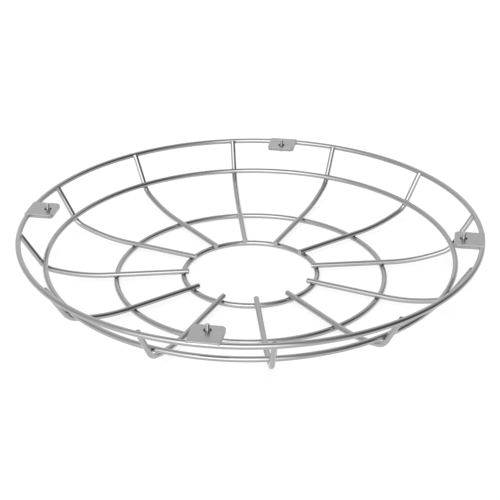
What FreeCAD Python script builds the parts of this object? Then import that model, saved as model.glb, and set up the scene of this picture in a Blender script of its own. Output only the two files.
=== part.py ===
import FreeCAD, Part
import math
import os

import Sketcher

# Bulb cage guard: a shallow round bowl of welded steel wire.
# Twelve bent radial wires lie on two base rings, rise round a shoulder ring and end in the rim,
# and four drilled tabs on the rim carry the screws that fix the guard over a lamp.
# Millimetres and degrees. The origin is the centre of the base, on the surface it rests on, +Z up.

# The driving sizes. Each name is also the alias of its cell in the sheet.
SIZES = {
    # Wire and welds
    "wire_dia": 4.0,  # every ring and every radial wire is bent from this stock
    "weld_sink": 0.35,  # how far two crossing wires are pressed into each other
    # Rings
    "rim_radius": 168.6,  # of the rim's centreline
    "rim_height": 40.9,  # of the rim's centreline over the base
    "inner_radius": 50.0,  # of the inner ring's centreline
    "middle_setback": 6.0,  # the middle ring's centreline lies this far inside the flat stretch's end
    # Radial wires
    "rods_per_tab": 3,  # wires from one tab to the next, evenly spaced between the tabs
    "rod_overhang": 4.1,  # the cut inner end stands this far inside the inner ring's centreline
    "bow_radius": 124.5,  # the long gentle bend after the flat stretch
    "bow_angle": 18.8,
    "bend_radius": 14.5,  # the tight bend that ends at the shoulder ring
    "rise_angle": 59.6,  # slope of the straight outer stretch
    "rod_rim_offset": 1.6,  # that stretch passes this far inside the rim's centreline
    "rod_top_rise": 0.55,  # and ends this far over it
    # Tabs
    "tab_count": 4,
    "tab_width": 21.8,
    "tab_length": 21.5,
    "tab_thickness": 2.9,
    "tab_end_setback": 0.29,  # the outer corners stop this far inside the rim's outer side
    "tab_cover": 0.45,  # metal left over the top of the rim
    "tab_corner_radius": 3.2,
    "tab_edge_radius": 0.3,
    "hole_setback": 6.55,  # the hole's centre from the tab's inner end
    "hole_clearance": 2.35,  # hole over screw, on the diameter
    # Screws
    "screw_dia": 3.0,  # over the thread's crests
    "screw_length": 7.3,  # under the head
    "screw_tip_chamfer": 0.35,
    "head_dia": 6.0,
    "head_height": 2.3,
    "head_rim_height": 1.0,  # the upright edge of the pan head
    "head_flat_dia": 3.4,  # the flat inside the head's rounding
    "slot_width": 0.8,  # each arm of the cross recess
    "slot_length": 3.0,
    "slot_depth": 1.3,
}

# Sizes that follow from the driving ones, as formulas in a second sheet.
PLACES = {
    "wire_radius": "Sizes.wire_dia / 2",
    "weld_pitch": "Sizes.wire_dia - Sizes.weld_sink",
    # A radial wire's axis, from the rim down and in: rising line, tight bend, gentle bow, flat stretch
    "rod_height": "wire_radius + weld_pitch",
    "rise_radius": "Sizes.rim_radius - Sizes.rod_rim_offset",
    "rod_top_height": "Sizes.rim_height + Sizes.rod_top_rise",
    "rod_top_radius": "rise_radius + Sizes.rod_top_rise / tan(Sizes.rise_angle)",
    "bow_end_height": "rod_height + Sizes.bow_radius * (1 - cos(Sizes.bow_angle))",
    "bend_end_height": "bow_end_height"
                       " + Sizes.bend_radius * (cos(Sizes.bow_angle) - cos(Sizes.rise_angle))",
    "bend_end_radius": "rise_radius - (Sizes.rim_height - bend_end_height) / tan(Sizes.rise_angle)",
    "bow_end_radius": "bend_end_radius"
                      " - Sizes.bend_radius * (sin(Sizes.rise_angle) - sin(Sizes.bow_angle))",
    "flat_end_radius": "bow_end_radius - Sizes.bow_radius * sin(Sizes.bow_angle)",
    "rod_inner_end": "Sizes.inner_radius - Sizes.rod_overhang",
    # The rings that the wires carry: two lie under the flat stretch, one inside the end of the tight bend
    "base_ring_height": "wire_radius",
    "middle_radius": "flat_end_radius - Sizes.middle_setback",
    "shoulder_radius": "bend_end_radius - weld_pitch * sin(Sizes.rise_angle)",
    "shoulder_height": "bend_end_height + weld_pitch * cos(Sizes.rise_angle)",
    # Tabs and screws
    "tab_top": "Sizes.rim_height + wire_radius + Sizes.tab_cover",
    "tab_bottom": "tab_top - Sizes.tab_thickness",
    "tab_outer_end": "sqrt((Sizes.rim_radius + wire_radius)^2 - (Sizes.tab_width / 2)^2)"
                     " - Sizes.tab_end_setback",
    "tab_inner_end": "tab_outer_end - Sizes.tab_length",
    "screw_circle_radius": "tab_inner_end + Sizes.hole_setback",
    "hole_dia": "Sizes.screw_dia + Sizes.hole_clearance",
    "screw_radius": "Sizes.screw_dia / 2",
    "tip_radius": "screw_radius - Sizes.screw_tip_chamfer",
    "head_radius": "Sizes.head_dia / 2",
    "head_flat_radius": "Sizes.head_flat_dia / 2",
}


def make_sheet(doc, name, cells):
    """A sheet with one named cell a row: a number, or a formula given as text."""
    sheet = doc.addObject("Spreadsheet::Sheet", name)
    for row, (alias, value) in enumerate(cells.items(), start=1):
        content = "=" + value if isinstance(value, str) else str(value)
        sheet.set(f"A{row}", alias)
        sheet.set(f"B{row}", content)
        sheet.setAlias(f"B{row}", alias)
    doc.recompute()
    return sheet


class Guard:
    """The document, its sheets and the helpers that the sub-parts share."""

    def __init__(self):
        self.doc = FreeCAD.newDocument("BulbCageGuard")
        self.sizes = make_sheet(self.doc, "Sizes", SIZES)
        self.places = make_sheet(self.doc, "Places", PLACES)
        self.parts = []

    def size(self, name):
        """The value of a cell, from the sheet that has it."""
        sheet = self.sizes if name in SIZES else self.places
        return float(sheet.get(name))

    def body(self, label):
        """A new body that is kept as a sub-part of this name."""
        body = self.doc.addObject("PartDesign::Body", label)
        body.Label = label
        self.parts.append(body)
        return body

    def sketch(self, body, name, plane, offset=None):
        """A sketch on one of the body's own planes, raised along its normal by a formula."""
        sketch = body.newObject("Sketcher::SketchObject", f"{body.Name}_{name}")
        role = next(f for f in body.Origin.OriginFeatures if f.Role == plane)
        sketch.AttachmentSupport = [(role, "")]
        sketch.MapMode = "FlatFace"
        if offset:
            sketch.setExpression("AttachmentOffset.Base.z", offset)
        return sketch

    def feature(self, body, kind, name, profile=None):
        """A feature of the body, on its profile sketch if it has one."""
        feature = body.newObject(f"PartDesign::{kind}", f"{body.Name}_{name}")
        if profile:
            feature.Profile = profile
        return feature


def bind(sketch, constraint, name, formula):
    """Add a constraint with a name and tie its value to a formula."""
    index = sketch.addConstraint(constraint)
    sketch.renameConstraint(index, name)
    sketch.setExpression(f"Constraints.{name}", formula)


def point(x, y):
    """A point in a sketch."""
    return FreeCAD.Vector(x, y, 0)


# The normal of every sketch, in the sketch's own axes, which is also the guard's axis
NORMAL = FreeCAD.Vector(0, 0, 1)


def add_circle(sketch, name, centre, diameter, values):
    """A circle with its place and diameter tied: each is a formula, with its value for a start."""
    x, y, dia = values
    circle = sketch.addGeometry(Part.Circle(point(x, y), NORMAL, dia / 2))
    bind(sketch, Sketcher.Constraint("Diameter", circle, dia), f"{name}_dia", diameter)
    if centre[0]:
        bind(sketch, Sketcher.Constraint("DistanceX", -1, 1, circle, 3, x), f"{name}_x", centre[0])
    else:
        sketch.addConstraint(Sketcher.Constraint("PointOnObject", circle, 3, -2))
    if centre[1]:
        bind(sketch, Sketcher.Constraint("DistanceY", -1, 1, circle, 3, y), f"{name}_y", centre[1])
    else:
        sketch.addConstraint(Sketcher.Constraint("PointOnObject", circle, 3, -1))
    return circle


# The rings: name, centreline radius and centreline height
RINGS = (
    ("outer_rim", "Sizes.rim_radius", "Sizes.rim_height"),
    ("shoulder_ring", "Places.shoulder_radius", "Places.shoulder_height"),
    ("middle_ring", "Places.middle_radius", "Places.base_ring_height"),
    ("inner_ring", "Sizes.inner_radius", "Places.base_ring_height"),
)


def add_ring_section(guard, sketch, ring):
    """The round section of a ring, drawn in the XZ plane at the ring's place."""
    name, radius, height = ring
    values = [guard.size(formula.split(".")[1]) for formula in (radius, height)]
    add_circle(sketch, name, (radius, height), "Sizes.wire_dia", values + [guard.size("wire_dia")])


def must_shrink(body, before):
    """Stop if the last cut took nothing off a body."""
    if not body.Shape.Volume < before:
        raise RuntimeError(f"the last cut takes nothing off {body.Label}")


def cut_seats(guard, body, rings):
    """Cut the seats of these rings out of a body, with the rings' own sections turned about Z."""
    before = body.Shape.Volume
    sketch = guard.sketch(body, "seat_section", "XZ_Plane")
    for ring in rings:
        add_ring_section(guard, sketch, ring)
    groove = guard.feature(body, "Groove", "seats", sketch)
    groove.ReferenceAxis = (sketch, ["V_Axis"])
    groove.Angle = 360
    guard.doc.recompute()
    must_shrink(body, before)


def make_ring(guard, ring):
    """A ring of round wire, its ends butt-welded into one closed hoop."""
    body = guard.body(ring[0])
    sketch = guard.sketch(body, "section", "XZ_Plane")
    add_ring_section(guard, sketch, ring)
    hoop = guard.feature(body, "Revolution", "hoop", sketch)
    hoop.ReferenceAxis = (sketch, ["V_Axis"])
    hoop.Angle = 360
    guard.doc.recompute()


def draw_rod_path(guard, body):
    """The axis of a radial wire in the XZ plane: flat line, gentle bow, tight bend, rising line."""
    inner = point(guard.size("rod_inner_end"), guard.size("rod_height"))
    flat_end = point(guard.size("flat_end_radius"), guard.size("rod_height"))
    bow_end = point(guard.size("bow_end_radius"), guard.size("bow_end_height"))
    bend_end = point(guard.size("bend_end_radius"), guard.size("bend_end_height"))
    top = point(guard.size("rod_top_radius"), guard.size("rod_top_height"))
    bow_radius, bend_radius = guard.size("bow_radius"), guard.size("bend_radius")
    bow_angle, rise_angle = (math.radians(guard.size(name)) for name in ("bow_angle", "rise_angle"))
    down = math.radians(-90)
    bow_centre = flat_end + point(0, bow_radius)
    bend_centre = bow_end + point(-math.sin(bow_angle), math.cos(bow_angle)) * bend_radius
    sketch = guard.sketch(body, "path", "XZ_Plane")
    flat = sketch.addGeometry(Part.LineSegment(inner, flat_end))
    bow = sketch.addGeometry(Part.ArcOfCircle(
        Part.Circle(bow_centre, NORMAL, bow_radius), down, down + bow_angle))
    bend = sketch.addGeometry(Part.ArcOfCircle(
        Part.Circle(bend_centre, NORMAL, bend_radius), down + bow_angle, down + rise_angle))
    rise = sketch.addGeometry(Part.LineSegment(bend_end, top))
    sketch.addConstraint([
        Sketcher.Constraint("Horizontal", flat),
        Sketcher.Constraint("Tangent", flat, 2, bow, 1),
        Sketcher.Constraint("Tangent", bow, 2, bend, 1),
        Sketcher.Constraint("Tangent", bend, 2, rise, 1),
    ])
    ties = (
        (("DistanceX", -1, 1, flat, 1, inner.x), "inner_end", "Places.rod_inner_end"),
        (("DistanceY", -1, 1, flat, 1, inner.y), "flat_height", "Places.rod_height"),
        (("Radius", bow, bow_radius), "bow_radius", "Sizes.bow_radius"),
        (("Angle", bow, bow_angle), "bow_angle", "Sizes.bow_angle"),
        (("Radius", bend, bend_radius), "bend_radius", "Sizes.bend_radius"),
        (("Angle", rise, rise_angle), "rise_angle", "Sizes.rise_angle"),
        (("DistanceX", -1, 1, rise, 2, top.x), "top_radius", "Places.rod_top_radius"),
        (("DistanceY", -1, 1, rise, 2, top.y), "top_height", "Places.rod_top_height"),
    )
    for constraint, name, formula in ties:
        bind(sketch, Sketcher.Constraint(*constraint), name, formula)
    return sketch


def make_rod(guard, number, pitch):
    """A radial wire: round stock bent along its path, seated on the rings that it crosses."""
    body = guard.body(f"radial_wire_{number + 1:02d}")
    path = draw_rod_path(guard, body)
    section = guard.sketch(body, "section", "YZ_Plane", "Places.rod_inner_end")
    values = (0, guard.size("rod_height"), guard.size("wire_dia"))
    add_circle(section, "wire", (None, "Places.rod_height"), "Sizes.wire_dia", values)
    wire = guard.feature(body, "AdditivePipe", "wire", section)
    wire.Spine = (path, [])
    guard.doc.recompute()
    cut_seats(guard, body, RINGS)
    place(body, pitch * (number + 0.5))


def place(body, turn, seat=FreeCAD.Vector()):
    """Set a sub-part on its seat, then turn it about the guard's axis to its place."""
    rotation = FreeCAD.Rotation(NORMAL, turn)
    body.Placement = FreeCAD.Placement(rotation.multVec(seat), rotation)


def draw_polygon(sketch, corners):
    """A closed polygon in an empty sketch, its lines numbered from 0."""
    count = len(corners)
    for number, corner in enumerate(corners):
        sketch.addGeometry(Part.LineSegment(corner, corners[(number + 1) % count]))
    for number in range(count):
        sketch.addConstraint(Sketcher.Constraint("Coincident", number, 2, (number + 1) % count, 1))


def draw_tab_outline(guard, body):
    """The tab's plan: a rectangle along X from its inner end to its outer end."""
    inner, outer = guard.size("tab_inner_end"), guard.size("tab_outer_end")
    width = guard.size("tab_width")
    sketch = guard.sketch(body, "plan", "XY_Plane", "Places.tab_bottom")
    draw_polygon(sketch, [
        point(inner, -width / 2), point(outer, -width / 2), point(outer, width / 2), point(inner, width / 2)])
    sketch.addConstraint([Sketcher.Constraint("Horizontal", n) for n in (0, 2)])
    sketch.addConstraint(Sketcher.Constraint("Vertical", 1))
    sketch.addConstraint(Sketcher.Constraint("Symmetric", 0, 1, 3, 1, -1))
    bind(sketch, Sketcher.Constraint("DistanceX", -1, 1, 0, 1, inner), "inner_end", "Places.tab_inner_end")
    bind(sketch, Sketcher.Constraint("DistanceX", -1, 1, 0, 2, outer), "outer_end", "Places.tab_outer_end")
    bind(sketch, Sketcher.Constraint("DistanceY", 0, 1, 3, 1, width), "width", "Sizes.tab_width")
    return sketch


# Two points nearer than this are one
CLOSE = 1e-6


def is_upright(edge):
    """Whether an edge runs up and down."""
    return edge.BoundBox.ZLength > CLOSE


def edges_where(shape, test):
    """The names of a shape's edges that pass a test."""
    return [f"Edge{n}" for n, edge in enumerate(shape.Edges, start=1) if test(edge)]


def make_tab(guard, number):
    """A drilled tab: a thick plate let down over the rim, with its inner corners rounded."""
    body = guard.body(f"mounting_tab_{number + 1}")
    plate = guard.feature(body, "Pad", "plate", draw_tab_outline(guard, body))
    plate.setExpression("Length", "Sizes.tab_thickness")
    guard.doc.recompute()

    inner = guard.size("tab_inner_end")
    corners = guard.feature(body, "Fillet", "corners")
    corners.Base = (plate, edges_where(plate.Shape, lambda edge: is_upright(edge) and all(
        abs(vertex.Point.x - inner) < CLOSE for vertex in edge.Vertexes)))
    corners.setExpression("Radius", "Sizes.tab_corner_radius")
    guard.doc.recompute()

    top = guard.size("tab_top")
    softened = guard.feature(body, "Fillet", "top_edge")
    softened.Base = (corners, edges_where(corners.Shape, lambda edge: all(
        abs(vertex.Point.z - top) < CLOSE for vertex in edge.Vertexes)))
    softened.setExpression("Radius", "Sizes.tab_edge_radius")
    guard.doc.recompute()

    before = body.Shape.Volume
    drill = guard.sketch(body, "drill", "XY_Plane", "Places.tab_bottom")
    values = (guard.size("screw_circle_radius"), 0, guard.size("hole_dia"))
    add_circle(drill, "hole", ("Places.screw_circle_radius", None), "Places.hole_dia", values)
    hole = guard.feature(body, "Pocket", "hole", drill)
    hole.Type = "ThroughAll"
    hole.Reversed = True
    guard.doc.recompute()
    must_shrink(body, before)
    cut_seats(guard, body, RINGS[:1])
    place(body, 360 / guard.size("tab_count") * number)


def draw_screw_profile(guard, body):
    """Half the screw's section in the XZ plane, tip up, with the head's seat on the sketch's X axis."""
    shank, length, tip = (guard.size(name) for name in ("screw_radius", "screw_length", "tip_radius"))
    head, edge = guard.size("head_radius"), guard.size("head_rim_height")
    flat, height = guard.size("head_flat_radius"), guard.size("head_height")
    corners = [
        (0, length), (tip, length), (shank, length - (shank - tip)), (shank, 0), (head, 0), (head, -edge),
        (flat, -height), (0, -height),
    ]
    # The rounding is an arc through its two ends that leaves the head's edge upright
    rounding = 5
    chord = point(head - flat, height - edge)
    radius = chord.Length ** 2 / (2 * chord.x)
    centre = point(head - radius, -edge)
    start = math.atan2(edge - height, flat - centre.x)
    sketch = guard.sketch(body, "profile", "XZ_Plane")
    count = len(corners)
    for number, corner in enumerate(corners):
        if number == rounding:
            sketch.addGeometry(Part.ArcOfCircle(Part.Circle(centre, NORMAL, radius), start, 0))
        else:
            sketch.addGeometry(Part.LineSegment(point(*corner), point(*corners[(number + 1) % count])))
    for number in range(count):
        after = (number + 1) % count
        here = (number, 1 if number == rounding else 2)
        there = (after, 2 if after == rounding else 1)
        join = "Tangent" if after == rounding else "Coincident"
        sketch.addConstraint(Sketcher.Constraint(join, *here, *there))
    sketch.addConstraint([Sketcher.Constraint("Horizontal", n) for n in (0, 3, 6)])
    sketch.addConstraint([Sketcher.Constraint("Vertical", n) for n in (2, 4, 7)])
    sketch.addConstraint([
        Sketcher.Constraint("PointOnObject", 0, 1, -2),
        Sketcher.Constraint("PointOnObject", 3, 1, -1),
        Sketcher.Constraint("Angle", 1, math.radians(-45)),
    ])
    ties = (
        (("DistanceY", -1, 1, 0, 1, length), "shank_length", "Sizes.screw_length"),
        (("DistanceX", -1, 1, 3, 1, shank), "shank_radius", "Places.screw_radius"),
        (("DistanceX", -1, 1, 0, 2, tip), "tip_radius", "Places.tip_radius"),
        (("DistanceX", -1, 1, 3, 2, head), "head_radius", "Places.head_radius"),
        (("DistanceY", 4, 2, 4, 1, edge), "head_edge", "Sizes.head_rim_height"),
        (("DistanceX", -1, 1, 6, 1, flat), "flat_radius", "Places.head_flat_radius"),
        (("DistanceY", 6, 1, -1, 1, height), "head_height", "Sizes.head_height"),
    )
    for constraint, name, formula in ties:
        bind(sketch, Sketcher.Constraint(*constraint), name, formula)
    return sketch


def make_screw(guard, number):
    """A pan head screw, pushed up through a tab so that its shank stands over the top face."""
    body = guard.body(f"tab_screw_{number + 1}")
    profile = draw_screw_profile(guard, body)
    turned = guard.feature(body, "Revolution", "turned", profile)
    turned.ReferenceAxis = (profile, ["V_Axis"])
    turned.Angle = 360
    guard.doc.recompute()

    before = body.Shape.Volume
    length, width = guard.size("slot_length"), guard.size("slot_width")
    slot = guard.sketch(body, "slot", "XY_Plane", "-Sizes.head_height")
    corners = [point(x * length / 2, y * width / 2) for x, y in ((-1, -1), (1, -1), (1, 1), (-1, 1))]
    draw_polygon(slot, corners)
    slot.addConstraint([Sketcher.Constraint("Horizontal", n) for n in (0, 2)])
    slot.addConstraint(Sketcher.Constraint("Vertical", 1))
    slot.addConstraint(Sketcher.Constraint("Symmetric", 0, 1, 2, 1, -1, 1))
    bind(slot, Sketcher.Constraint("DistanceX", 0, 1, 0, 2, length), "length", "Sizes.slot_length")
    bind(slot, Sketcher.Constraint("DistanceY", 1, 1, 1, 2, width), "width", "Sizes.slot_width")
    arm = guard.feature(body, "Pocket", "recess_arm", slot)
    arm.setExpression("Length", "Sizes.slot_depth")
    arm.Reversed = True
    guard.doc.recompute()
    must_shrink(body, before)

    before = body.Shape.Volume
    cross = guard.feature(body, "PolarPattern", "cross_recess")
    cross.Originals = [arm]
    cross.Axis = (slot, ["N_Axis"])
    cross.Angle = 90
    cross.Occurrences = 2
    body.Tip = cross
    guard.doc.recompute()
    must_shrink(body, before)
    seat = FreeCAD.Vector(guard.size("screw_circle_radius"), 0, guard.size("tab_bottom"))
    place(body, 360 / guard.size("tab_count") * number, seat)


def check_document(guard):
    """Stop if any object failed or any sub-part is not one valid solid."""
    for item in guard.doc.Objects:
        if {"Invalid", "Error"} & set(item.State):
            raise RuntimeError(f"{item.Label} failed: {item.State}")
    for body in guard.parts:
        shape = body.Shape
        if shape.isNull() or not shape.isValid() or len(shape.Solids) != 1:
            raise RuntimeError(f"{body.Label} is not one valid solid")


def main():
    """Build the guard and write each sub-part to its own file."""
    guard = Guard()
    for ring in RINGS:
        make_ring(guard, ring)
    tab_count = int(guard.size("tab_count"))
    rod_count = tab_count * int(guard.size("rods_per_tab"))
    for number in range(rod_count):
        make_rod(guard, number, 360 / rod_count)
    for number in range(tab_count):
        make_tab(guard, number)
        make_screw(guard, number)
    guard.doc.recompute()
    check_document(guard)
    os.makedirs("parts", exist_ok=True)
    for body in guard.parts:
        body.Shape.exportStep(f"parts/{body.Label}.step")
        print(f"{body.Label}: {body.Shape.Volume:.1f} mm3")


main()
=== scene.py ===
"""Looks of the bulb cage guard: a shallow bowl of welded steel wire with four drilled tabs.

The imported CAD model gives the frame. Every wire, tab and screw is built again here as one smooth
surface with its weld metal, in the place of its CAD node, and gets its steel finish.
Sizes are in millimetres and become metres when a mesh is made.
"""

import logging
import math
from dataclasses import dataclass, replace
from enum import Enum

import bpy
import numpy as np
from mathutils import Matrix, Vector


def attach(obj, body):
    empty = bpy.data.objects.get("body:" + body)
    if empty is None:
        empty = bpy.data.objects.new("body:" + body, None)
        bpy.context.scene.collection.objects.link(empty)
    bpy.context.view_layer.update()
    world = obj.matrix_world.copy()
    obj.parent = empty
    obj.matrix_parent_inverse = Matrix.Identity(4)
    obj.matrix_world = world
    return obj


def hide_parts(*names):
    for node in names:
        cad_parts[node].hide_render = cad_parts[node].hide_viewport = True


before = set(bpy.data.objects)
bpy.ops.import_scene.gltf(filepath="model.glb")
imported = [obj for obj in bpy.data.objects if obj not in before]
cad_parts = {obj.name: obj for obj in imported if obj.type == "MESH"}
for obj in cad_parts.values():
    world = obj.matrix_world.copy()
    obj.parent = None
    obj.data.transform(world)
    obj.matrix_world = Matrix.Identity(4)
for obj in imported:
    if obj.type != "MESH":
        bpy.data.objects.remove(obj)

LOG = logging.getLogger("bulb_cage_guard")
BODY = "root"
METRES = 0.001
FULL_TURN = 2 * math.pi
QUARTER_TURN = math.pi / 2


class Finish(Enum):
    """The steels of the guard. All but the weld's are named after a slot in the record."""

    WIRE = "steel_wire"
    TAB = "steel_tab"
    SCREW = "steel_screw"
    WELD = "steel_weld"


@dataclass(frozen=True)
class SteelFinish:
    """A clean, neutral steel with fine marks that follow the piece's own map.

    Args:
        name: Name of the material.
        tone: Grey of the metal, from 0 to 1.
        roughness: Mean roughness.
        roughness_spread: How far the marks move the roughness either way.
        marks: Repeats of the fine marks along and across the piece's map.
        marks_depth: Height of the marks in metres.
        marks_detail: Octaves of the marks' noise.
        marks_range: Values of that noise for the least and the most roughness.
        clouds: Repeats a metre of the finish's slow clouds, on Object coordinates.
        clouds_depth: How far the clouds darken the tone, as a share.
        clouds_detail: Octaves of the clouds' noise.
        clouds_range: Values of that noise for the darkest and the full tone.
    """

    name: str
    tone: float
    roughness: float
    roughness_spread: float
    marks: tuple[float, float]
    marks_depth: float
    marks_detail: float = 3.0
    marks_range: tuple[float, float] = (0.25, 0.75)
    clouds: float = 60.0
    clouds_depth: float = 0.06
    clouds_detail: float = 4.0
    clouds_range: tuple[float, float] = (0.3, 0.7)

    def make(self) -> bpy.types.Material:
        """Build the node material.

        Returns:
            The new material.
        """
        material = bpy.data.materials.new(self.name)
        material.use_nodes = True
        nodes, links = material.node_tree.nodes, material.node_tree.links
        shader = nodes["Principled BSDF"]
        shader.inputs["Metallic"].default_value = 1.0

        surface_map = nodes.new("ShaderNodeUVMap")
        stretch = nodes.new("ShaderNodeMapping")
        stretch.inputs["Scale"].default_value = (*self.marks, 1.0)
        fine = nodes.new("ShaderNodeTexNoise")
        fine.inputs["Scale"].default_value = 1.0
        fine.inputs["Detail"].default_value = self.marks_detail
        links.new(surface_map.outputs["UV"], stretch.inputs["Vector"])
        links.new(stretch.outputs["Vector"], fine.inputs["Vector"])

        space = nodes.new("ShaderNodeTexCoord")
        clouds = nodes.new("ShaderNodeTexNoise")
        clouds.inputs["Scale"].default_value = self.clouds
        clouds.inputs["Detail"].default_value = self.clouds_detail
        links.new(space.outputs["Object"], clouds.inputs["Vector"])

        tone = nodes.new("ShaderNodeValToRGB")
        greys = (self.tone * (1 - self.clouds_depth), self.tone)
        for stop, value, grey in zip(tone.color_ramp.elements, self.clouds_range, greys):
            stop.position = value
            stop.color = (grey, grey, grey, 1)
        links.new(clouds.outputs["Fac"], tone.inputs["Fac"])
        links.new(tone.outputs["Color"], shader.inputs["Base Color"])

        rough = nodes.new("ShaderNodeMapRange")
        rough.inputs["From Min"].default_value, rough.inputs["From Max"].default_value = self.marks_range
        rough.inputs["To Min"].default_value = self.roughness - self.roughness_spread
        rough.inputs["To Max"].default_value = self.roughness + self.roughness_spread
        links.new(fine.outputs["Fac"], rough.inputs["Value"])
        links.new(rough.outputs["Result"], shader.inputs["Roughness"])

        bump = nodes.new("ShaderNodeBump")
        bump.inputs["Strength"].default_value = 1.0
        bump.inputs["Distance"].default_value = self.marks_depth
        links.new(fine.outputs["Fac"], bump.inputs["Height"])
        links.new(bump.outputs["Normal"], shader.inputs["Normal"])
        return material


FINISHES: dict[Finish, SteelFinish] = {
    Finish.WIRE: SteelFinish("drawn_wire_steel", 0.42, 0.12, 0.03, (40.0, 2600.0), 1e-6),
    Finish.TAB: SteelFinish("sheet_steel", 0.42, 0.30, 0.03, (2400.0, 120.0), 5e-7),
    Finish.SCREW: SteelFinish("plated_screw_steel", 0.55, 0.15, 0.04, (400.0, 900.0), 5e-7),
    Finish.WELD: SteelFinish("weld_steel", 0.42, 0.24, 0.05, (900.0, 900.0), 4e-6),
}


class Palette:
    """The materials, each made once, when it is first asked for."""

    def __init__(self) -> None:
        """Start with no material made."""
        self.made: dict[Finish, bpy.types.Material] = {}

    def dress(self, piece: bpy.types.Object, finish: Finish) -> None:
        """Give a piece its finish.

        Args:
            piece: The piece to dress.
            finish: The finish that covers all of it.
        """
        if finish not in self.made:
            self.made[finish] = FINISHES[finish].make()
        piece.data.materials.append(self.made[finish])


@dataclass
class Surface:
    """A closed surface as a grid of points: rows along it, columns round it.

    Args:
        points: Grid of points in millimetres, with rows, columns and three coordinates.
        wrap_rows: Whether the last row joins the first. Otherwise each end row is closed by a fan.
        u: Map coordinate of each row, in metres along the surface.
        v: Map coordinate of each column edge, one more than the columns, in metres round it.
    """

    points: np.ndarray
    wrap_rows: bool
    u: np.ndarray
    v: np.ndarray

    def moved(self, shift: np.ndarray) -> "Surface":
        """The same surface, moved by a shift in millimetres."""
        return replace(self, points=self.points + shift)

    def turned(self, angle: float) -> "Surface":
        """The same surface, turned about the guard's axis by an angle in radians."""
        cos, sin = math.cos(angle), math.sin(angle)
        return replace(self, points=self.points @ np.array([[cos, sin, 0], [-sin, cos, 0], [0, 0, 1]]))

    def cells(self) -> tuple[np.ndarray, np.ndarray]:
        """The quads' row numbers, as a column, and their column numbers, as a row."""
        rows, columns = self.points.shape[:2]
        return np.arange(rows if self.wrap_rows else rows - 1)[:, None], np.arange(columns)[None, :]

    def corners(self) -> tuple[np.ndarray, np.ndarray]:
        """Corner numbers of the faces.

        The face at row i and column j has the corners (i, j), (i, j+1), (i+1, j+1) and (i+1, j),
        with both numbers taken round again past the end. A fan joins an end row to a point in
        its middle.

        Returns:
            The quads, and the triangles of the two fans.
        """
        rows, columns = self.points.shape[:2]
        i, j = self.cells()
        here, over, beside = i * columns, (i + 1) % rows * columns, (j + 1) % columns
        quads = np.stack(np.broadcast_arrays(here + j, here + beside, over + beside, over + j), axis=-1)
        if self.wrap_rows:
            return quads.reshape(-1, 4), np.empty((0, 3), int)
        middle = rows * columns
        edge = np.arange(columns)
        after = (edge + 1) % columns
        last = (rows - 1) * columns
        first_fan = np.stack([np.full(columns, middle), after, edge], axis=-1)
        last_fan = np.stack([np.full(columns, middle + 1), last + edge, last + after], axis=-1)
        return quads.reshape(-1, 4), np.concatenate([first_fan, last_fan])

    def map_corners(self) -> np.ndarray:
        """Map coordinates of the face corners.

        Where the rows wrap, the last faces are as long on the map as the ones before them.

        Returns:
            A pair for every corner, in the order of the faces of corners().
        """
        i, j = self.cells()
        u = np.append(self.u, 2 * self.u[-1] - self.u[-2]) if self.wrap_rows else self.u
        here, over, near, far = np.broadcast_arrays(u[i], u[i + 1], self.v[j], self.v[j + 1])
        along = np.stack([here, here, over, over], axis=-1)
        across = np.stack([near, far, far, near], axis=-1)
        quads = np.stack([along, across], axis=-1).reshape(-1, 2)
        if self.wrap_rows:
            return quads
        near, far = self.v[:-1], self.v[1:]
        centre = (near + far) / 2
        fans = []
        for end, across in ((self.u[0], [centre, far, near]), (self.u[-1], [centre, near, far])):
            across = np.stack(across, axis=-1)
            fans.append(np.stack([np.full_like(across, end), across], axis=-1).reshape(-1, 2))
        return np.concatenate([quads, *fans])

    def vertices(self) -> np.ndarray:
        """All the points of the surface.

        Returns:
            Points in millimetres, with the two fan middles at the end where it has them.
        """
        grid = self.points.reshape(-1, 3)
        if self.wrap_rows:
            return grid
        return np.concatenate([grid, self.points[0].mean(0)[None], self.points[-1].mean(0)[None]])


def row_lengths(points: np.ndarray) -> np.ndarray:
    """How far along a grid of points each row lies, by the mean steps from row to row."""
    steps = np.linalg.norm(np.diff(points, axis=0).mean(1), axis=-1)
    return np.concatenate([[0], np.cumsum(steps)])


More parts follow.
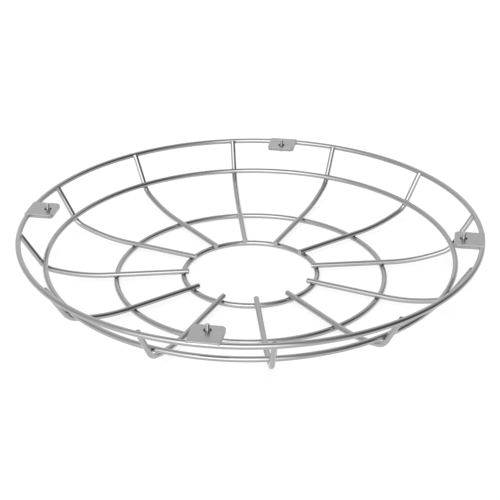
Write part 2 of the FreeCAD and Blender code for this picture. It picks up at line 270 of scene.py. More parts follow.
def make_piece(name: str, surfaces: list[Surface], crease: float = 35.0) -> bpy.types.Object:
    """Make one piece of some closed surfaces, in metres at the origin, with its faces outwards.

    The sum of a . (b x c) over a surface's triangles is six times the volume inside it, and its
    sign tells which way the faces point.

    Args:
        name: Name of the piece.
        surfaces: The closed surfaces that it is made of.
        crease: Angle in degrees past which an edge stays sharp.

    Returns:
        The new object.
    """
    vertices, faces, maps = [], [], []
    count = 0
    for surface in surfaces:
        points = surface.vertices() * METRES
        quads, fans = surface.corners()
        map_corners = surface.map_corners()
        triangles = np.concatenate([quads[:, [0, 1, 2]], quads[:, [0, 2, 3]], fans])
        a, b, c = (points[triangles[:, k]] for k in range(3))
        if np.einsum("ij,ij->", a, np.cross(b, c)) < 0:
            quad_map = map_corners[:quads.size].reshape(-1, 4, 2)[:, ::-1]
            fan_map = map_corners[quads.size:].reshape(-1, 3, 2)[:, ::-1]
            map_corners = np.concatenate([quad_map.reshape(-1, 2), fan_map.reshape(-1, 2)])
            quads, fans = quads[:, ::-1], fans[:, ::-1]
        vertices.append(points)
        faces += (quads + count).tolist() + (fans + count).tolist()
        maps.append(map_corners)
        count += len(points)
    mesh = bpy.data.meshes.new(name)
    mesh.from_pydata(np.concatenate(vertices), [], faces)
    layer = mesh.uv_layers.new(name="UVMap")
    layer.data.foreach_set("uv", np.concatenate(maps).astype(np.float32).ravel())
    mesh.shade_smooth()
    mesh.set_sharp_from_angle(angle=math.radians(crease))
    mesh.validate()
    piece = bpy.data.objects.new(name, mesh)
    bpy.context.scene.collection.objects.link(piece)
    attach(piece, BODY)
    return piece


@dataclass(frozen=True)
class GuardSizes:
    """The guard's driving sizes in millimetres and degrees.

    Args:
        wire: Diameter of every wire.
        weld_sink: Depth of the seat where two wires are welded across each other.
        rim_radius: Of the rim's centreline.
        rim_height: Of the rim's centreline over the base.
        inner_radius: Of the inner ring's centreline.
        middle_setback: How far the middle ring lies inside the end of the flat stretch.
        rod_overhang: How far a radial wire runs in past the inner ring's centreline.
        bow_radius: Of the gentle bow.
        bow_angle: Slope at the end of the bow.
        bend_radius: Of the tight bend.
        rise_angle: Slope of the straight rise.
        rod_rim_offset: How far inside the rim's centreline a radial wire passes it.
        rod_top_rise: How far a radial wire's end stands over the rim's centreline.
        rod_count: Number of radial wires.
        tab_count: Number of tabs.
    """

    wire: float = 4.0
    weld_sink: float = 0.35
    rim_radius: float = 168.6
    rim_height: float = 40.9
    inner_radius: float = 50.0
    middle_setback: float = 6.0
    rod_overhang: float = 4.1
    bow_radius: float = 124.5
    bow_angle: float = 18.8
    bend_radius: float = 14.5
    rise_angle: float = 59.6
    rod_rim_offset: float = 1.6
    rod_top_rise: float = 0.55
    rod_count: int = 12
    tab_count: int = 4

    @property
    def pitch(self) -> float:
        """Distance between the centrelines of two wires that are welded across each other."""
        return self.wire - self.weld_sink

    @property
    def rod_height(self) -> float:
        """Height of a radial wire's centreline over the base, along its flat stretch."""
        return self.wire / 2 + self.pitch

    @property
    def rod_angles(self) -> list[float]:
        """Turn of each radial wire about the axis in radians, half a step from the first tab on."""
        return [FULL_TURN / self.rod_count * (number + 0.5) for number in range(self.rod_count)]

    @property
    def tab_angles(self) -> list[float]:
        """Turn of each tab about the axis in radians."""
        return [FULL_TURN / self.tab_count * number for number in range(self.tab_count)]


@dataclass(frozen=True)
class RodPath:
    """The centreline of a radial wire in its own upright plane, as corner points and headings.

    Args:
        sizes: The guard's sizes.
    """

    sizes: GuardSizes

    def knots(self) -> tuple[np.ndarray, np.ndarray]:
        """Ends of the four stretches, found backwards from the rim.

        Each arc moves the line by its radius times the change of sine along and of cosine up.

        Returns:
            Five points as radius and height, and the heading in radians at each.
        """
        s = self.sizes
        bow, rise = math.radians(s.bow_angle), math.radians(s.rise_angle)
        top_radius = s.rim_radius - s.rod_rim_offset + s.rod_top_rise / math.tan(rise)
        top = np.array([top_radius, s.rim_height + s.rod_top_rise])
        bow_end_height = s.rod_height + s.bow_radius * (1 - math.cos(bow))
        bend_end_height = bow_end_height + s.bend_radius * (math.cos(bow) - math.cos(rise))
        bend_end = np.array([top[0] - (top[1] - bend_end_height) / math.tan(rise), bend_end_height])
        bow_end = np.array([bend_end[0] - s.bend_radius * (math.sin(rise) - math.sin(bow)), bow_end_height])
        flat_end = np.array([bow_end[0] - s.bow_radius * math.sin(bow), s.rod_height])
        start = np.array([s.inner_radius - s.rod_overhang, s.rod_height])
        return np.stack([start, flat_end, bow_end, bend_end, top]), np.array([0, 0, bow, rise, rise])

    def sample(self, shares: tuple[np.ndarray, ...]) -> tuple[np.ndarray, np.ndarray, np.ndarray]:
        """Points along the path.

        On a line the point moves evenly between its ends. On an arc the heading grows evenly and
        the point is the start plus the radius times (sin h - sin h0, cos h0 - cos h).

        Args:
            shares: For each of the four stretches, how far along it each row lies, from 0 to 1.

        Returns:
            Radius and height of each row, its heading, and its length along the path.
        """
        ends, headings = self.knots()
        radii = (None, self.sizes.bow_radius, self.sizes.bend_radius, None)
        points, turns, lengths = [], [], []
        gone = 0.0
        for number, share in enumerate(shares):
            first, last = headings[number], headings[number + 1]
            heading = first + (last - first) * share
            if radii[number] is None:
                step = ends[number + 1] - ends[number]
                points.append(ends[number] + share[:, None] * step)
                length = float(np.linalg.norm(step))
            else:
                moved = np.stack([np.sin(heading) - np.sin(first), np.cos(first) - np.cos(heading)], -1)
                points.append(ends[number] + radii[number] * moved)
                length = radii[number] * (last - first)
            turns.append(heading)
            lengths.append(gone + share * length)
            gone += length
        return np.concatenate(points), np.concatenate(turns), np.concatenate(lengths)


@dataclass
class Hoops:
    """The four rings of round wire, each closed into a hoop.

    Args:
        sizes: The guard's sizes.
        steps_round: Rows of each hoop about the guard's axis.
        steps_section: Columns round the wire.
    """

    sizes: GuardSizes
    steps_round: int = 480
    steps_section: int = 28

    def places(self) -> dict[str, tuple[float, float]]:
        """Where the rings lie.

        Returns:
            Centreline radius and height of each ring, by the name of its CAD node.
        """
        s = self.sizes
        _, flat_end, _, bend_end, _ = RodPath(s).knots()[0]
        rise = math.radians(s.rise_angle)
        base = s.wire / 2
        return {
            "outer_rim": (s.rim_radius, s.rim_height),
            "shoulder_ring": (bend_end[0] - s.pitch * math.sin(rise), bend_end[1] + s.pitch * math.cos(rise)),
            "middle_ring": (flat_end[0] - s.middle_setback, base),
            "inner_ring": (s.inner_radius, base),
        }

    def hoop(self, radius: float, height: float) -> Surface:
        """A torus: (radius + r cos b) out at every turn a, and height + r sin b up.

        Args:
            radius: Of the centreline.
            height: Of the centreline.

        Returns:
            The closed surface.
        """
        wire = self.sizes.wire / 2
        a = np.linspace(0, FULL_TURN, self.steps_round, endpoint=False)[:, None]
        b = np.linspace(0, FULL_TURN, self.steps_section + 1)[None, :]
        out = radius + wire * np.cos(b[:, :-1])
        up = height + wire * np.sin(b[:, :-1])
        points = np.stack(np.broadcast_arrays(out * np.cos(a), out * np.sin(a), up), axis=-1)
        return Surface(points, True, a[:, 0] * radius * METRES, b[0] * wire * METRES)

    def build(self, palette: Palette) -> list[bpy.types.Object]:
        """Make the rings in the place of their CAD nodes.

        Args:
            palette: Gives their finish.

        Returns:
            The four rings.
        """
        rings = []
        for node, (radius, height) in self.places().items():
            ring = make_piece(f"{node}_hoop", [self.hoop(radius, height)])
            palette.dress(ring, Finish.WIRE)
            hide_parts(node)
            rings.append(ring)
        return rings


@dataclass
class RadialWires:
    """The twelve bent wires that run from inside the inner ring out and up to the rim.

    Args:
        sizes: The guard's sizes.
        steps_section: Columns round the wire.
        edge_round: Radius of the broken edge of a cut end.
        fillet_height: How far the weld metal swells the wire where it meets the rim.
        fillet_reach: Distance from the rim over which that swelling fades.
        steps_along: Rows along each of the four stretches.
        crowding: Power that draws the last stretch's rows together towards the rim.
        edge_rows: Rows of a broken edge.
    """

    sizes: GuardSizes
    steps_section: int = 28
    edge_round: float = 0.25
    fillet_height: float = 0.4
    fillet_reach: float = 0.5
    steps_along: tuple[int, int, int, int] = (40, 32, 20, 40)
    crowding: float = 1.5
    edge_rows: int = 5

    def rows(self) -> tuple[np.ndarray, np.ndarray, np.ndarray, np.ndarray]:
        """Rows along a wire, with a quarter round at each cut end.

        A row of the round lies e (1 - cos t) inside the cut and e (1 - sin t) under the wire's
        surface, with t from 0 to a quarter turn.

        Returns:
            Radius and height, heading, length along the path and wire radius of each row.
        """
        path = RodPath(self.sizes)
        flat, bow, bend, rise = (np.linspace(0, 1, steps, endpoint=False) for steps in self.steps_along)
        points, headings, lengths = path.sample((flat[1:], bow, bend, 1 - (1 - rise) ** self.crowding))
        ends, _ = path.knots()
        wire, e, count = self.sizes.wire / 2, self.edge_round, self.edge_rows
        total = lengths[-1] + float(np.linalg.norm(points[-1] - ends[-1]))
        inside = (lengths > e) & (lengths < total - e)
        t = np.linspace(0, QUARTER_TURN, count)
        deep, under = e * (1 - np.cos(t)), e * (1 - np.sin(t))
        first, last = (np.array([math.cos(heading), math.sin(heading)]) for heading in headings[[0, -1]])
        start, finish = ends[0] + deep[:, None] * first, ends[-1] - deep[::-1, None] * last
        flat_edge, steep_edge = np.full(count, headings[0]), np.full(count, headings[-1])
        start_length, finish_length = np.linspace(0, e, count), np.linspace(total - e, total, count)
        return (
            np.concatenate([start, points[inside], finish]),
            np.concatenate([flat_edge, headings[inside], steep_edge]),
            np.concatenate([start_length, lengths[inside], finish_length]),
            np.concatenate([wire - under, np.full(inside.sum(), wire), wire - under[::-1]]),
        )

    def wire(self) -> Surface:
        """A wire: a circle carried along the path, then swelled towards the rim.

        A point of the circle lies r cos b along the path's normal and r sin b across. The weld
        metal moves it outwards by h exp(-d / w), where d is its distance from the rim's surface.

        Returns:
            The closed surface in the guard's plane of y = 0.
        """
        s = self.sizes
        points, headings, lengths, radii = self.rows()
        b = np.linspace(0, FULL_TURN, self.steps_section + 1)
        ring = b[:-1][None, :]

        def carried(radius: np.ndarray) -> np.ndarray:
            """Carry the circle along the path.

            Args:
                radius: At each row and column.

            Returns:
                The grid of points.
            """
            up = radius * np.cos(ring)
            out = points[:, :1] - up * np.sin(headings)[:, None]
            high = points[:, 1:] + up * np.cos(headings)[:, None]
            return np.stack([out, radius * np.sin(ring), high], axis=-1)

        plain = carried(radii[:, None] + 0 * ring)
        from_axis = np.hypot(plain[..., 0], plain[..., 1]) - s.rim_radius
        gap = np.hypot(from_axis, plain[..., 2] - s.rim_height) - s.wire / 2
        swell = self.fillet_height * np.exp(-np.maximum(gap, 0) / self.fillet_reach)
        swelled = carried(radii[:, None] + swell)
        return Surface(swelled, False, lengths * METRES, b * s.wire / 2 * METRES)

    def build(self, palette: Palette) -> list[bpy.types.Object]:
        """Make the wires in the place of their CAD nodes.

        Args:
            palette: Gives their finish.

        Returns:
            The twelve wires.
        """
        surface = self.wire()
        wires = []
        for number, angle in enumerate(self.sizes.rod_angles, start=1):
            wire = make_piece(f"bent_wire_{number:02d}", [surface.turned(angle)])
            palette.dress(wire, Finish.WIRE)
            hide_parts(f"radial_wire_{number:02d}")
            wires.append(wire)
        return wires


@dataclass
class CrossingWelds:
    """The small lens of weld metal squeezed out between two wires that cross.

    Args:
        sizes: The guard's sizes.
        reach: Radius of the lens.
        thickness: Half its thickness in the middle.
        steps_over: Steps from its lowest point over its edge to its highest.
        steps_round: Columns round it.
    """

    sizes: GuardSizes
    reach: float = 0.95
    thickness: float = 0.18
    steps_over: int = 12
    steps_round: int = 24

    def lens(self, centre: np.ndarray, along: np.ndarray, across: np.ndarray, up: np.ndarray) -> Surface:
        """A lens that follows the saddle between two crossed wires.

        At u along the lower wire and v across it, the middle of the lens is (u^2 - v^2) / 4r high,
        and its half thickness is that of an ellipse, t sqrt(1 - (u^2 + v^2) / R^2).

        Args:
            centre: Where the wires touch.
            along: Direction of the lower wire.
            across: Direction of the upper wire.
            up: Direction from the lower wire to the upper one.

        Returns:
            The closed surface.
        """
        sweep = np.linspace(-QUARTER_TURN, QUARTER_TURN, self.steps_over + 1)[1:-1][:, None]
        turn = np.linspace(0, FULL_TURN, self.steps_round + 1)
        away = self.reach * np.cos(sweep)
        u, v = away * np.cos(turn[:-1]), away * np.sin(turn[:-1])
        height = (u ** 2 - v ** 2) / (2 * self.sizes.wire) + self.thickness * np.sin(sweep)
        points = centre + u[..., None] * along + v[..., None] * across + height[..., None] * up
        return Surface(points, False, self.reach * sweep[:, 0] * METRES, self.reach * turn * METRES)

    def build(self, palette: Palette) -> list[bpy.types.Object]:
        """Make the welds of each ring as one piece.

        A seat holds the lower wire's direction, the upper one's, the way up from the first to the
        second, and 1 or -1 where the radial wires lie that way or the other way from the ring.

        Args:
            palette: Gives their finish.

        Returns:
            The welds of the inner, middle and shoulder rings.
        """
        s = self.sizes
        places = Hoops(s).places()
        rise = math.radians(s.rise_angle)
        flat_up, slope_up = np.array([0, 0, 1.0]), np.array([-math.sin(rise), 0, math.cos(rise)])
        out, side = np.array([1.0, 0, 0]), np.array([0, 1.0, 0])
        slope = np.array([math.cos(rise), 0, math.sin(rise)])
        seats = {
            "inner_ring": (side, out, flat_up, 1),
            "middle_ring": (side, out, flat_up, 1),
            "shoulder_ring": (slope, side, slope_up, -1),
        }
        made = []
        for node, (along, across, up, side_of_ring) in seats.items():
            radius, height = places[node]
            centre = np.array([radius, 0, height]) + side_of_ring * up * s.pitch / 2
            lens = self.lens(centre, along, across, up)
            welds = make_piece(f"{node}_welds", [lens.turned(angle) for angle in s.rod_angles])
            palette.dress(welds, Finish.WELD)
            made.append(welds)
        return made


@dataclass
class Tabs:
    """The four drilled plates on the rim, with the weld under each.

    Args:
        sizes: The guard's sizes.
        width: Across the tab.
        length: From its inner to its outer end.
        thickness: Of the plate.
        end_setback: How far the outer corners stop inside the rim's outer side.
        cover: Metal over the top of the rim.
        corner: Radius of the inner corners.
        outer_corner: Radius of the outer corners.
        edge: Radius of the top edge.
        lower_edge: Radius of the edges underneath and of the hole.
        hole_setback: Hole's centre from the inner end.
        hole: Diameter of the hole.
        bead: Radius of the weld bead under the tab.
        bead_margin: How far the bead stops inside the tab's sides.
        bead_fade: Power of the bead's shrinking to its ends.
        corner_steps: Steps round each corner of the plan.
        side_steps: Steps along each side of the plan.
        edge_steps: Steps round each rounded edge.
        face_steps: Steps across each face, from the hole to the outline.
        bead_steps: Steps along the bead.
        bead_columns: Columns round it.
    """

    sizes: GuardSizes
    width: float = 21.8
    length: float = 21.5
    thickness: float = 2.9
    end_setback: float = 0.29
    cover: float = 0.45
    corner: float = 3.2
    outer_corner: float = 0.3
    edge: float = 0.3
    lower_edge: float = 0.15
    hole_setback: float = 6.55
    hole: float = 5.35
    bead: float = 0.55
    bead_margin: float = 2.0
    bead_fade: int = 6
    corner_steps: int = 12
    side_steps: int = 13
    edge_steps: int = 5
    face_steps: int = 8
    bead_steps: int = 60
    bead_columns: int = 16

    @property
    def top(self) -> float:
        """Height of the top face."""
        return self.sizes.rim_height + self.sizes.wire / 2 + self.cover

    @property
    def bottom(self) -> float:
        """Height of the face underneath."""
        return self.top - self.thickness

    @property
    def outer_end(self) -> float:
        """Distance of the outer end from the guard's axis."""
        outside = self.sizes.rim_radius + self.sizes.wire / 2
        return math.sqrt(outside ** 2 - (self.width / 2) ** 2) - self.end_setback

    @property
    def hole_radius_on_guard(self) -> float:
        """Distance of the hole's centre from the guard's axis."""
        return self.outer_end - self.length + self.hole_setback

    def outline(self, inset: np.ndarray) -> np.ndarray:
        """The plan of the tab, set in by some amounts, as seen from the hole's centre.

        Corner by corner, the points are the corner's centre plus its radius, less the inset,
        times the direction, which turns by a quarter. Straight sides join them.

        Args:
            inset: How far each row is set in from the edge.

        Returns:
            Grid of plan points about the hole's centre, one row for each inset.
        """
        inner, outer, half = -self.hole_setback, self.length - self.hole_setback, self.width / 2
        corners = (
            (outer, half, self.outer_corner), (inner, half, self.corner),
            (inner, -half, self.corner), (outer, -half, self.outer_corner),
        )
        rounds = []
        for number, (x, y, radius) in enumerate(corners):
            turn = number * QUARTER_TURN + np.linspace(0, QUARTER_TURN, self.corner_steps + 1)
            centre = np.array([x - math.copysign(radius, x), y - math.copysign(radius, y)])
            direction = np.stack([np.cos(turn), np.sin(turn)], -1)
            rounds.append(centre + (radius - inset[:, None, None]) * direction)
        sides = []
        share = np.linspace(0, 1, self.side_steps + 1)[1:-1][None, :, None]
        for number, arc in enumerate(rounds):
            after = rounds[(number + 1) % len(rounds)]
            sides += [arc, arc[:, -1:] + share * (after[:, :1] - arc[:, -1:])]
        return np.concatenate(sides, axis=1)

    def plate(self) -> Surface:
        """The plate as one ring-shaped surface round its hole.

        The rows go from the hole's top edge over the top face, round the top edge, down the side,
        across the face underneath and up the hole's wall. A rounded edge is a quarter of a circle.
        Over the faces a point moves evenly from the hole to the outline.

        Returns:
            The closed surface about the hole's centre.
        """
        t = np.linspace(0, QUARTER_TURN, self.edge_steps + 1)
        near, far = 1 - np.cos(t), 1 - np.sin(t)
        rim = self.outline(np.zeros(1))[0]
        angle = np.arctan2(rim[:, 1], rim[:, 0])
        direction = np.stack([np.cos(angle), np.sin(angle)], -1)
        large, small = self.edge, self.lower_edge

        def level(plan: np.ndarray, height: np.ndarray) -> np.ndarray:
            """Rows of plan points with a height for each row, as a grid of points."""
            high = np.broadcast_to(height[:, None, None], (*plan.shape[:2], 1))
            return np.concatenate([plan, high], axis=-1)

        def around(wider: np.ndarray) -> np.ndarray:
            """Rows of plan points round the hole, each wider than it by the amount for its row."""
            return (self.hole / 2 + wider)[:, None, None] * direction

        top_edge = level(self.outline(large * far), self.top - large * near)
        low_edge = level(self.outline(small * near), self.bottom + small * far)
        low_hole = level(around(small * far), self.bottom + small * near)
        high_hole = level(around(small * near), self.top - small * far)
        share = np.linspace(0, 1, self.face_steps + 1)[1:-1, None, None]
        over = high_hole[-1] + share * (top_edge[0] - high_hole[-1])
        under = low_edge[-1] + share * (low_hole[0] - low_edge[-1])
        points = np.concatenate([over, top_edge, low_edge, under, low_hole, high_hole])
        v = np.concatenate([[0], np.cumsum(np.linalg.norm(np.roll(rim, -1, 0) - rim, axis=-1))])
        return Surface(points, True, row_lengths(points) * METRES, v * METRES)

    def bead_under(self) -> Surface:
        """The weld bead under the tab, along the inner side of the rim.

        A circle is carried along the rim's arc, and shrinks to its ends as sqrt(1 - x^6), with x
        from -1 to 1 along the arc. Its centre lies a quarter of its radius out of the corner
        between the rim and the tab, both inwards and down.

        Returns:
            The closed surface in the guard's place for the first tab.
        """
        s = self.sizes
        drop = s.rim_height - self.bottom
        out_of_corner = self.bead / 4
        radius = s.rim_radius - math.sqrt((s.wire / 2) ** 2 - drop ** 2) - out_of_corner
        sweep = np.linspace(-1, 1, self.bead_steps + 1)[1:-1][:, None]
        section = np.linspace(0, FULL_TURN, self.bead_columns + 1)
        thick = self.bead * np.sqrt(1 - sweep ** self.bead_fade)
        along = sweep * (self.width / 2 - self.bead_margin) / radius
        out = radius + thick * np.cos(section[:-1])
        high = self.bottom - out_of_corner + thick * np.sin(section[:-1])
        points = np.stack([out * np.cos(along), out * np.sin(along), high], axis=-1)
        return Surface(points, False, sweep[:, 0] * self.width / 2 * METRES, section * self.bead * METRES)

    def build(self, palette: Palette) -> list[bpy.types.Object]:
        """Make the tabs in the place of their CAD nodes, and their welds.

        Args:
            palette: Gives their finish.

        Returns:
            The tabs and the welds.
        """
        made = []
        angles = self.sizes.tab_angles
        plate = self.plate().moved(np.array([self.hole_radius_on_guard, 0, 0]))
        bead = self.bead_under()
        for number, angle in enumerate(angles, start=1):
            tab = make_piece(f"drilled_tab_{number}", [plate.turned(angle)])
            palette.dress(tab, Finish.TAB)
            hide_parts(f"mounting_tab_{number}")
            made.append(tab)
        welds = make_piece("tab_welds", [bead.turned(angle) for angle in angles])
        palette.dress(welds, Finish.WELD)
        return made + [welds]


@dataclass
class Screws:
    """The four pan head screws, threaded to the head and pushed up through the tabs.

    Args:
        tabs: The tabs that they sit in.
        crest: Diameter over the thread.
        thread_pitch: From one crest to the next.
        thread_depth: From crest to root.
        length: Under the head.
        tip_chamfer: Of the tip.
        head: Diameter of the head.
        head_height: Of the head.
        head_side: Height of the head's upright side.
        arm_width: Of each arm of the cross recess.
        arm_span: From end to end of two arms.
        recess_depth: Of the recess.
        recess_rows: Each row's share of the cross's edge, and of the depth.
        tip_rows: Shares of the tip's radius at the rows on its flat end.
        thread_start: Height of the lowest row of the thread over the head's seat.
        head_edge: Radius of the broken edge of the head.
        steps_round: Columns round the screw.
        shank_rows: Rows of the thread.
        dome_steps: Steps round the head's rounding and its broken edge.
        crease: Angle in degrees past which an edge stays sharp.
    """

    tabs: Tabs
    crest: float = 3.0
    thread_pitch: float = 0.5
    thread_depth: float = 0.25
    length: float = 7.3
    tip_chamfer: float = 0.35
    head: float = 6.0
    head_height: float = 2.3
    head_side: float = 1.0
    arm_width: float = 0.8
    arm_span: float = 3.0
    recess_depth: float = 1.3
    recess_rows: tuple[tuple[float, float], ...] = (
        (1.04, 0), (1.0, 0.02), (0.97, 0.1), (0.68, 0.94), (0.64, 1.0), (0.3, 1.0),
    )
    tip_rows: tuple[float, float] = (0.3, 0.8)
    thread_start: float = 0.15
    head_edge: float = 0.12
    steps_round: int = 64
    shank_rows: int = 150
    dome_steps: int = 8
    crease: float = 40.0

    def shank(self, turn: np.ndarray) -> tuple[np.ndarray, np.ndarray]:
        """The threaded shank and its chamfered tip.

        The thread's surface is the crest radius less its depth times a narrow rounded valley,
        ((1 + cos) / 2) squared, of z / pitch - turn, so its crest climbs one pitch a turn. Near
        the tip the radius is also capped by the chamfer's cone.

        Args:
            turn: Direction of each column.

        Returns:
            Radius at every row and column, and the rows' heights, from the tip down.
        """
        height = np.linspace(self.length, self.thread_start, self.shank_rows)[:, None]
        phase = FULL_TURN * height / self.thread_pitch - turn[None, :]
        crest = self.crest / 2
        radius = crest - self.thread_depth * ((1 + np.cos(phase)) / 2) ** 2
        cone = crest - self.tip_chamfer + (self.length - height)
        return np.minimum(radius, cone), height[:, 0]

    def head_rows(self) -> tuple[np.ndarray, np.ndarray]:
        """The head's plain rows, from its seat round to the flat.

        The edge at the seat is broken, and the rounding is a quarter of a circle.

        Returns:
            Radius and height of each row.
        """
        t = np.linspace(0, QUARTER_TURN, self.dome_steps + 1)
        outside, e = self.head / 2, self.head_edge
        rounding = self.head_height - self.head_side
        seat = (np.array([self.crest / 2, outside - e]), np.zeros(2))
        broken = (outside - e * (1 - np.sin(t[1:])), -e * (1 - np.cos(t[1:])))
        dome = (outside - rounding * (1 - np.cos(t)), -self.head_side - rounding * np.sin(t))
        radius, height = (np.concatenate(pair) for pair in zip(seat, broken, dome))
        return radius, height

    def recess(self, turn: np.ndarray) -> tuple[np.ndarray, np.ndarray]:
        """The rows of the cross recess.

        The edge of a cross with arms w wide and a half span L is at min(L, (w / 2) / |sin a|) in
        the direction a from the nearest arm. The walls lean in to about two thirds of that.

        Args:
            turn: Direction of each column.

        Returns:
            Radius at every row and column, and the rows' heights.
        """
        from_arm = np.abs((turn + QUARTER_TURN / 2) % QUARTER_TURN - QUARTER_TURN / 2)
        with np.errstate(divide="ignore"):
            side = self.arm_width / 2 / np.sin(from_arm)
        edge = np.minimum(self.arm_span / 2, side)
        share, depth = np.array(self.recess_rows).T
        return share[:, None] * edge, -self.head_height + depth * self.recess_depth

    def screw(self) -> Surface:
        """A whole screw as one surface of turned rows.

        Returns:
            The closed surface, tip up, with the head's seat at height 0.
        """
        turn = np.linspace(0, FULL_TURN, self.steps_round + 1)
        shank_radius, shank_height = self.shank(turn[:-1])
        head_radius, head_height = self.head_rows()
        recess_radius, recess_height = self.recess(turn[:-1])
        tip = np.array(self.tip_rows)[:, None] * shank_radius[:1]
        tip_height = np.full(len(tip), self.length)
        plain = np.broadcast_to(head_radius[:, None], (len(head_radius), self.steps_round))
        radius = np.concatenate([tip, shank_radius, plain, recess_radius])
        height = np.concatenate([tip_height, shank_height, head_height, recess_height])[:, None]
        x, y = radius * np.cos(turn[:-1]), radius * np.sin(turn[:-1])
        points = np.stack(np.broadcast_arrays(x, y, height), axis=-1)
        return Surface(points, False, row_lengths(points) * METRES, turn * self.crest / 2 * METRES)

    def build(self, palette: Palette) -> list[bpy.types.Object]:
        """Make the screws in the place of their CAD nodes.

        Args:
            palette: Gives their finish.

        Returns:
            The four screws.
        """
        screw = self.screw().moved(np.array([self.tabs.hole_radius_on_guard, 0, self.tabs.bottom]))
        made = []
        for number, angle in enumerate(self.tabs.sizes.tab_angles, start=1):
            piece = make_piece(f"pan_screw_{number}", [screw.turned(angle)], self.crease)
            palette.dress(piece, Finish.SCREW)
            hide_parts(f"tab_screw_{number}")
            made.append(piece)
        return made


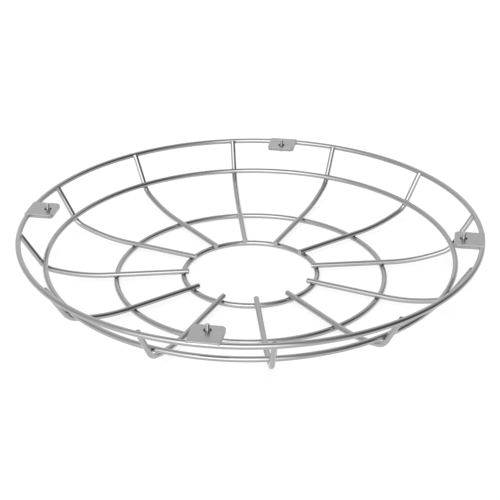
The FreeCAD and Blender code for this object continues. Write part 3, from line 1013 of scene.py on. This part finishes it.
@dataclass
class Studio:
    """The camera, the pale floor, the soft surroundings and the lamp.

    Args:
        camera_place: Of the camera, in metres.
        aim: Direction that it looks in.
        roll: About that direction, in degrees.
        lens: In millimetres.
        sensor: Its width in millimetres.
        clip: Nearest and furthest that the camera sees, in metres.
        floor_span: Side of the floor in metres.
        floor_grey: Grey of its matt part.
        floor_glow: Strength of its own glow, where 1 is white.
        surroundings: Grey near the horizon, by direction in degrees.
        zenith: Grey overhead.
        blend_heights: Degrees over the horizon between which that takes over.
        lamp_place: Of the lamp, in metres.
        lamp_size: Across the lamp, in metres.
        lamp_power: In watts.
    """

    camera_place: tuple[float, float, float] = (0.13800, -0.78265, 0.42626)
    aim: tuple[float, float, float] = (-0.154986, 0.877372, -0.454091)
    roll: float = -0.3277
    lens: float = 86.365
    sensor: float = 36.0
    clip: tuple[float, float] = (0.01, 50.0)
    floor_span: float = 40.0
    floor_grey: float = 0.3
    floor_glow: float = 0.75
    surroundings: tuple[tuple[float, float], ...] = (
        (-180, 0.70), (-170, 0.68), (-144, 0.95), (-132, 1.8), (-120, 2.1), (-108, 2.8), (-78, 2.8),
        (-66, 1.8), (-52, 0.65), (-20, 0.15), (10, 0.15), (40, 0.38), (70, 0.84), (100, 0.98),
        (130, 0.92), (160, 0.75), (180, 0.70),
    )
    zenith: float = 0.48
    blend_heights: tuple[float, float] = (50.0, 80.0)
    lamp_place: tuple[float, float, float] = (0.1, -0.5, 2.2)
    lamp_size: float = 1.6
    lamp_power: float = 10.0

    def place_camera(self) -> None:
        """Set the camera where the photograph was taken from."""
        forward = Vector(self.aim).normalized()
        right = forward.cross(Vector((0, 0, 1))).normalized()
        up = right.cross(forward)
        cos, sin = math.cos(math.radians(self.roll)), math.sin(math.radians(self.roll))
        right, up = right * cos + up * sin, up * cos - right * sin
        lens = bpy.data.cameras.new("camera")
        lens.lens, lens.sensor_width = self.lens, self.sensor
        lens.clip_start, lens.clip_end = self.clip
        camera = bpy.data.objects.new("camera", lens)
        turn = Matrix((right, up, -forward)).transposed().to_4x4()
        camera.matrix_world = Matrix.Translation(self.camera_place) @ turn
        bpy.context.scene.collection.objects.link(camera)
        bpy.context.scene.camera = camera

    def lay_floor(self) -> None:
        """Lay a white floor that glows to the camera and to the metal, and keeps the shadow."""
        half = self.floor_span / 2
        corners = np.array([[-half, -half, 0], [half, -half, 0], [half, half, 0], [-half, half, 0]])
        mesh = bpy.data.meshes.new("floor")
        mesh.from_pydata(corners, [], [(0, 1, 2, 3)])
        floor = bpy.data.objects.new("floor", mesh)
        bpy.context.scene.collection.objects.link(floor)
        material = bpy.data.materials.new("pale_floor")
        material.use_nodes = True
        nodes, links = material.node_tree.nodes, material.node_tree.links
        nodes.remove(nodes["Principled BSDF"])
        matt = nodes.new("ShaderNodeBsdfDiffuse")
        matt.inputs["Color"].default_value = (*3 * (self.floor_grey,), 1)
        glow = nodes.new("ShaderNodeEmission")
        rays = nodes.new("ShaderNodeLightPath")
        seen = rays.outputs["Is Camera Ray"]
        for kind in ("Is Glossy Ray", "Is Transmission Ray"):
            either = nodes.new("ShaderNodeMath")
            either.operation = "MAXIMUM"
            links.new(seen, either.inputs[0])
            links.new(rays.outputs[kind], either.inputs[1])
            seen = either.outputs["Value"]
        strength = nodes.new("ShaderNodeMath")
        strength.operation = "MULTIPLY"
        strength.inputs[1].default_value = self.floor_glow
        both = nodes.new("ShaderNodeAddShader")
        links.new(seen, strength.inputs[0])
        links.new(strength.outputs["Value"], glow.inputs["Strength"])
        links.new(matt.outputs["BSDF"], both.inputs[0])
        links.new(glow.outputs["Emission"], both.inputs[1])
        links.new(both.outputs["Shader"], nodes["Material Output"].inputs["Surface"])
        mesh.materials.append(material)

    def surround(self) -> None:
        """Make the soft surroundings: a grey for each direction, blended to the grey overhead."""
        world = bpy.data.worlds.new("studio")
        bpy.context.scene.world = world
        world.use_nodes = True
        nodes, links = world.node_tree.nodes, world.node_tree.links
        direction = nodes.new("ShaderNodeTexCoord")
        split = nodes.new("ShaderNodeSeparateXYZ")
        turn = nodes.new("ShaderNodeMath")
        turn.operation = "ARCTAN2"
        share = nodes.new("ShaderNodeMapRange")
        share.inputs["From Min"].default_value = -math.pi
        share.inputs["From Max"].default_value = math.pi
        ramp = nodes.new("ShaderNodeValToRGB")
        ramp.color_ramp.interpolation = "EASE"
        stops = ramp.color_ramp.elements
        brightest = max(grey for _, grey in self.surroundings)
        stops.remove(stops[1])
        for number, (degrees, grey) in enumerate(self.surroundings):
            stop = stops.new((degrees + 180) / 360) if number else stops[0]
            stop.color = (*3 * (grey / brightest,), 1)
        overhead = nodes.new("ShaderNodeMapRange")
        overhead.interpolation_type = "SMOOTHSTEP"
        for end, height in zip(("From Min", "From Max"), self.blend_heights):
            overhead.inputs[end].default_value = math.sin(math.radians(height))
        blend = nodes.new("ShaderNodeMix")
        blend.data_type = "RGBA"
        blend.inputs["B"].default_value = (*3 * (self.zenith / brightest,), 1)
        nodes["Background"].inputs["Strength"].default_value = brightest
        links.new(direction.outputs["Generated"], split.inputs["Vector"])
        links.new(split.outputs["Y"], turn.inputs[0])
        links.new(split.outputs["X"], turn.inputs[1])
        links.new(turn.outputs["Value"], share.inputs["Value"])
        links.new(share.outputs["Result"], ramp.inputs["Fac"])
        links.new(split.outputs["Z"], overhead.inputs["Value"])
        links.new(overhead.outputs["Result"], blend.inputs["Factor"])
        links.new(ramp.outputs["Color"], blend.inputs["A"])
        links.new(blend.outputs["Result"], nodes["Background"].inputs["Color"])

    def hang_lamp(self) -> None:
        """Hang one large soft lamp overhead, which gives the faint shadow on the floor."""
        lamp = bpy.data.lights.new("soft_lamp", "AREA")
        lamp.shape = "DISK"
        lamp.size, lamp.energy = self.lamp_size, self.lamp_power
        hung = bpy.data.objects.new("soft_lamp", lamp)
        hung.location = self.lamp_place
        hung.rotation_euler = (-hung.location).to_track_quat("-Z", "Y").to_euler()
        hung.visible_glossy = False
        bpy.context.scene.collection.objects.link(hung)

    def build(self) -> None:
        """Set up the whole studio."""
        self.place_camera()
        self.lay_floor()
        self.surround()
        self.hang_lamp()
        bpy.context.scene.view_settings.view_transform = "Standard"


def main() -> None:
    """Build every sub-assembly, dress it and report each piece."""
    logging.basicConfig(level=logging.INFO, format="%(name)s: %(message)s")
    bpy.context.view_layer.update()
    sizes = GuardSizes()
    palette = Palette()
    tabs = Tabs(sizes)
    for assembly in (Hoops(sizes), RadialWires(sizes), CrossingWelds(sizes), tabs, Screws(tabs)):
        for piece in assembly.build(palette):
            LOG.info("%s: %d faces", piece.name, len(piece.data.polygons))
    Studio().build()
    bpy.context.view_layer.update()


if __name__ == "__main__":
    main()
